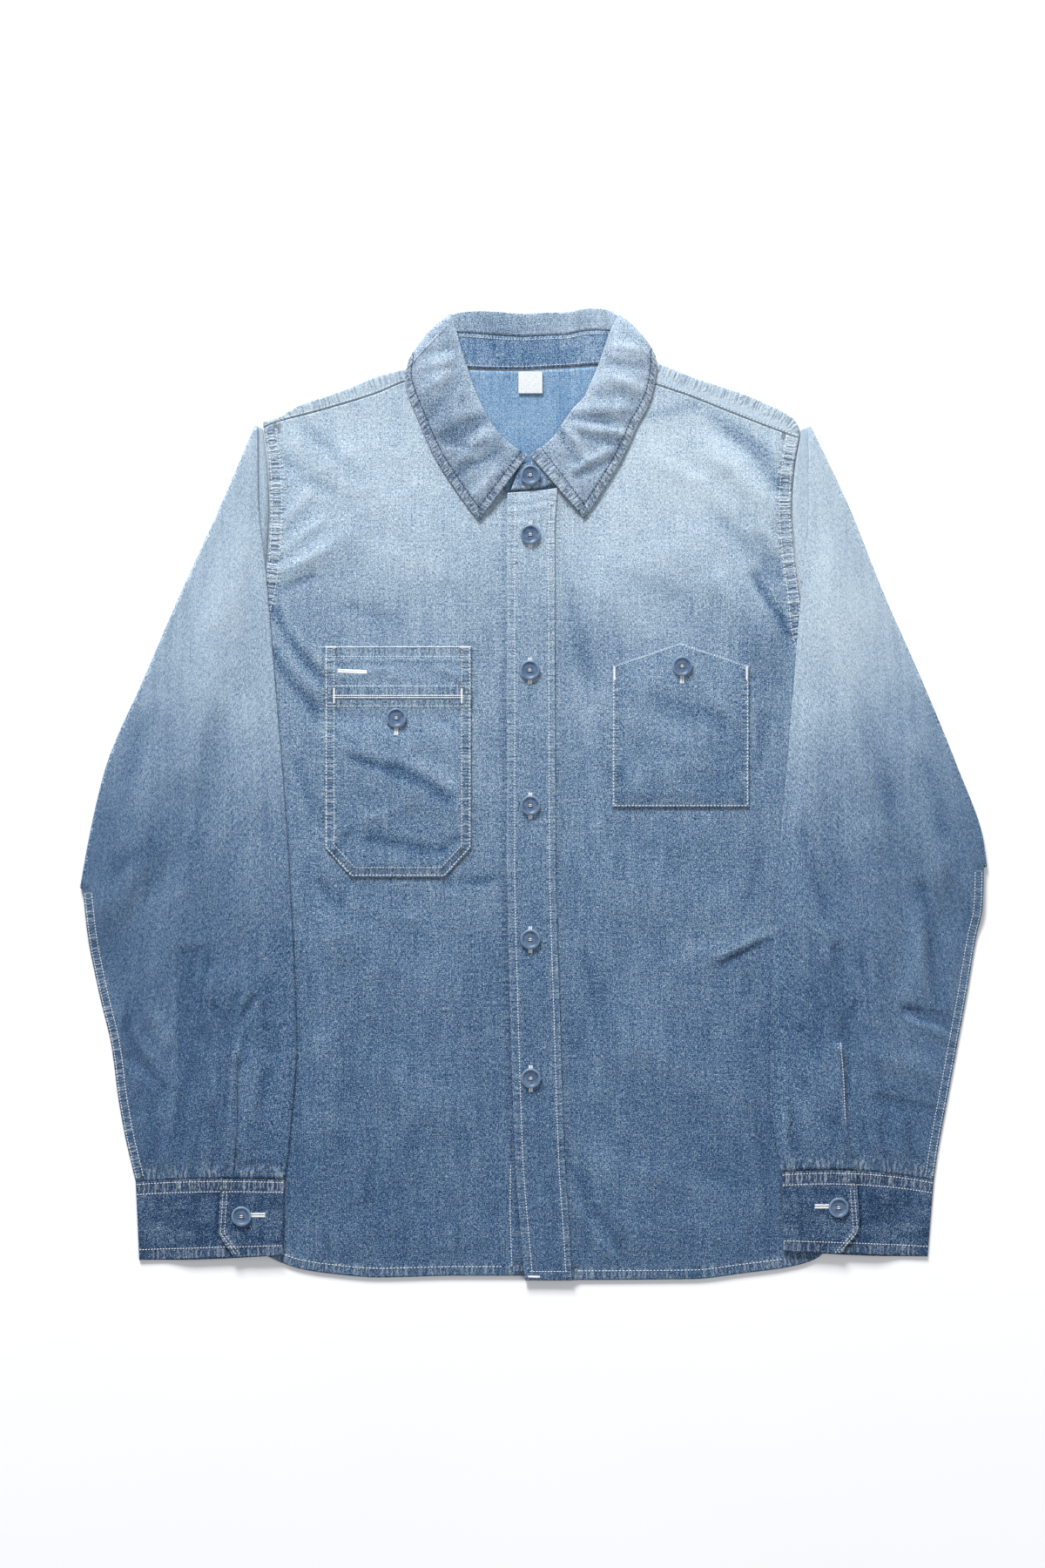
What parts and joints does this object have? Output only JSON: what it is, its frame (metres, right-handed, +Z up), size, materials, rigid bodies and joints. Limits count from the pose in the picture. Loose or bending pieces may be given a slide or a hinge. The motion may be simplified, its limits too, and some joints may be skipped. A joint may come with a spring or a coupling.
{
  "type": "chambray shirt",
  "caption": "Long-sleeved button-front chambray work shirt with a collar and chest pockets, laid flat on its back with both sleeves turned over its front.",
  "frame": {"origin": "on the surface the shirt lies on, at the middle of its width and height", "axes": "+X to the wearer's left, +Y from hem to collar, +Z up from the surface"},
  "size_m": [0.7178, 0.7687, 0.0093],
  "materials": {
    "body_cloth": "washed blue chambray, matt, fading towards the chest",
    "upper_cloth": "bleached pale blue chambray, matt",
    "sleeve_cloth": "washed blue chambray, pale at the shoulder",
    "cuff_cloth": "darker blue chambray with white topstitching",
    "label": "blank white woven label",
    "button": "slate blue satin plastic with a raised rim"
  },
  "bodies": {
    "root": {"back": "body_cloth", "yoke": "upper_cloth", "front_right": "body_cloth", "front_left": "body_cloth", "front_placket": "body_cloth", "sleeve_right": "sleeve_cloth", "sleeve_left": "sleeve_cloth", "cuff_right": "cuff_cloth", "cuff_left": "cuff_cloth", "slit_binding_right": "sleeve_cloth", "slit_binding_left": "sleeve_cloth", "collar_stand": "upper_cloth", "collar_leaf": "upper_cloth", "work_pocket_upper": "body_cloth", "work_pocket_lower": "body_cloth", "point_pocket": "body_cloth", "neck_label": "label", "button_front_1": "button", "button_front_2": "button", "button_front_3": "button", "button_front_4": "button", "button_front_5": "button", "button_front_6": "button", "button_work_pocket": "button", "button_point_pocket": "button", "button_cuff_right": "button", "button_cuff_left": "button"}
  },
  "joints": []
}
